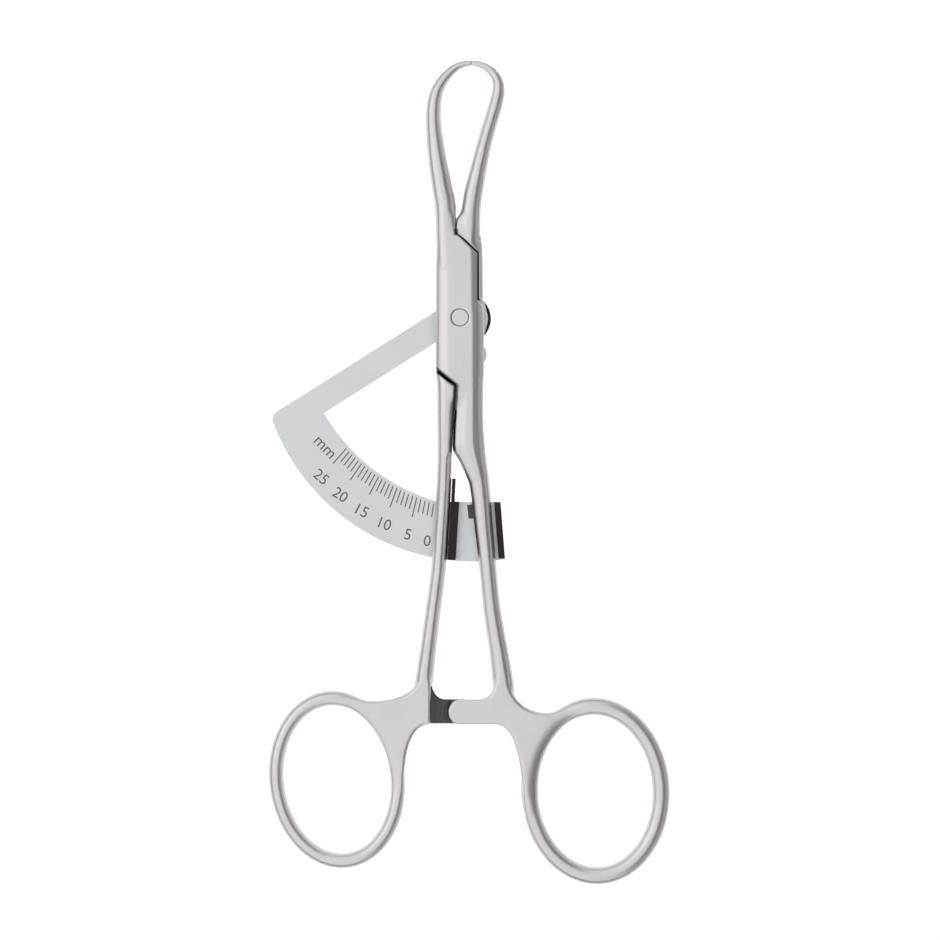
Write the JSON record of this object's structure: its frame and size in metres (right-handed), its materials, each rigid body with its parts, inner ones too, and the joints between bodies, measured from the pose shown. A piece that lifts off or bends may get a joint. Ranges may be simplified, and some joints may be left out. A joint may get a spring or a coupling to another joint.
{
  "type": "bone caliper",
  "caption": "Hand-held box-lock caliper with pointed curved jaws, ring handles, a ratchet and a quadrant scale that shows the tip opening in millimetres.",
  "frame": {"origin": "centre of the flat back of the pivot pin's head", "axes": "+Y along the jaws to the tips, +Z out of the front of the box lock, +X to the right seen from the front"},
  "size_m": [0.0656, 0.1349, 0.0072],
  "materials": {
    "forged_steel": "satin forged stainless steel",
    "plate_steel": "satin stainless sheet",
    "dark_steel": "blackened steel",
    "screw_steel": "turned stainless steel",
    "mark_fill": "dark fill of the engraved scale marks"
  },
  "bodies": {
    "female": {"female_arm": "forged_steel", "pivot_pin": "screw_steel", "scale_plate": "plate_steel", "plate_lock_screw": "screw_steel", "plate_end_spacer": "screw_steel", "plate_end_screw": "screw_steel"},
    "male": {"male_arm": "forged_steel", "scale_keeper": "dark_steel", "keeper_rivet_upper": "screw_steel", "keeper_rivet_lower": "screw_steel"}
  },
  "joints": [
    {"name": "arm_hinge", "type": "hinge", "parent": "female", "child": "male", "pos_m": [0, 0, 0], "axis": [0, 0, -1], "range_deg": [0, 36]}
  ]
}
